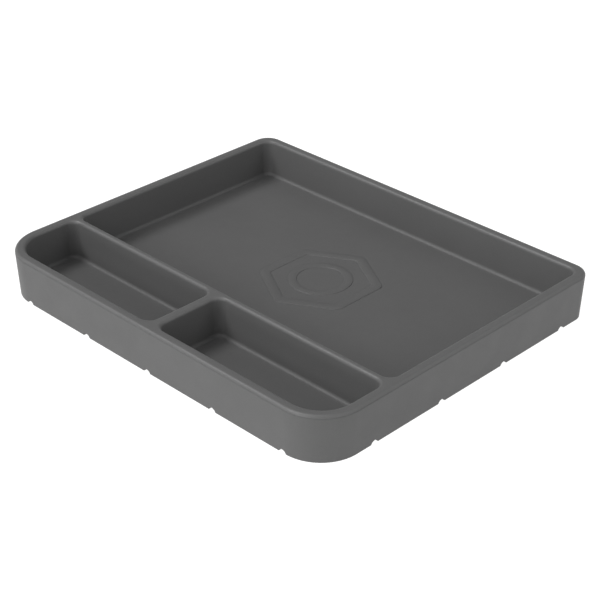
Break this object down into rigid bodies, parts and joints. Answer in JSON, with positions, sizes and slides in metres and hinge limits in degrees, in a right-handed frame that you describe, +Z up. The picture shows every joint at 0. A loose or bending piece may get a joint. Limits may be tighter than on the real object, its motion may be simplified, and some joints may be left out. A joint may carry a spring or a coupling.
{
  "type": "parts sorting tray",
  "caption": "Shallow rectangular soft tray with a large main compartment, smaller pockets along the front, a rounded rim and a raised nut emblem on its floor.",
  "frame": {"origin": "on the base plane, under the middle of the tray", "axes": "+X along the front edge to the right, +Y from the front pockets towards the back wall, +Z up"},
  "size_m": [0.292, 0.244, 0.0318],
  "materials": {
    "silicone": "matte moulded silicone, dark grey"
  },
  "bodies": {
    "root": {"front_wall": "silicone", "back_wall": "silicone", "left_wall": "silicone", "right_wall": "silicone", "rim": "silicone", "long_divider": "silicone", "cross_divider": "silicone", "main_floor": "silicone", "left_pocket_floor": "silicone", "right_pocket_floor": "silicone", "floor_emblem": "silicone"}
  },
  "joints": []
}
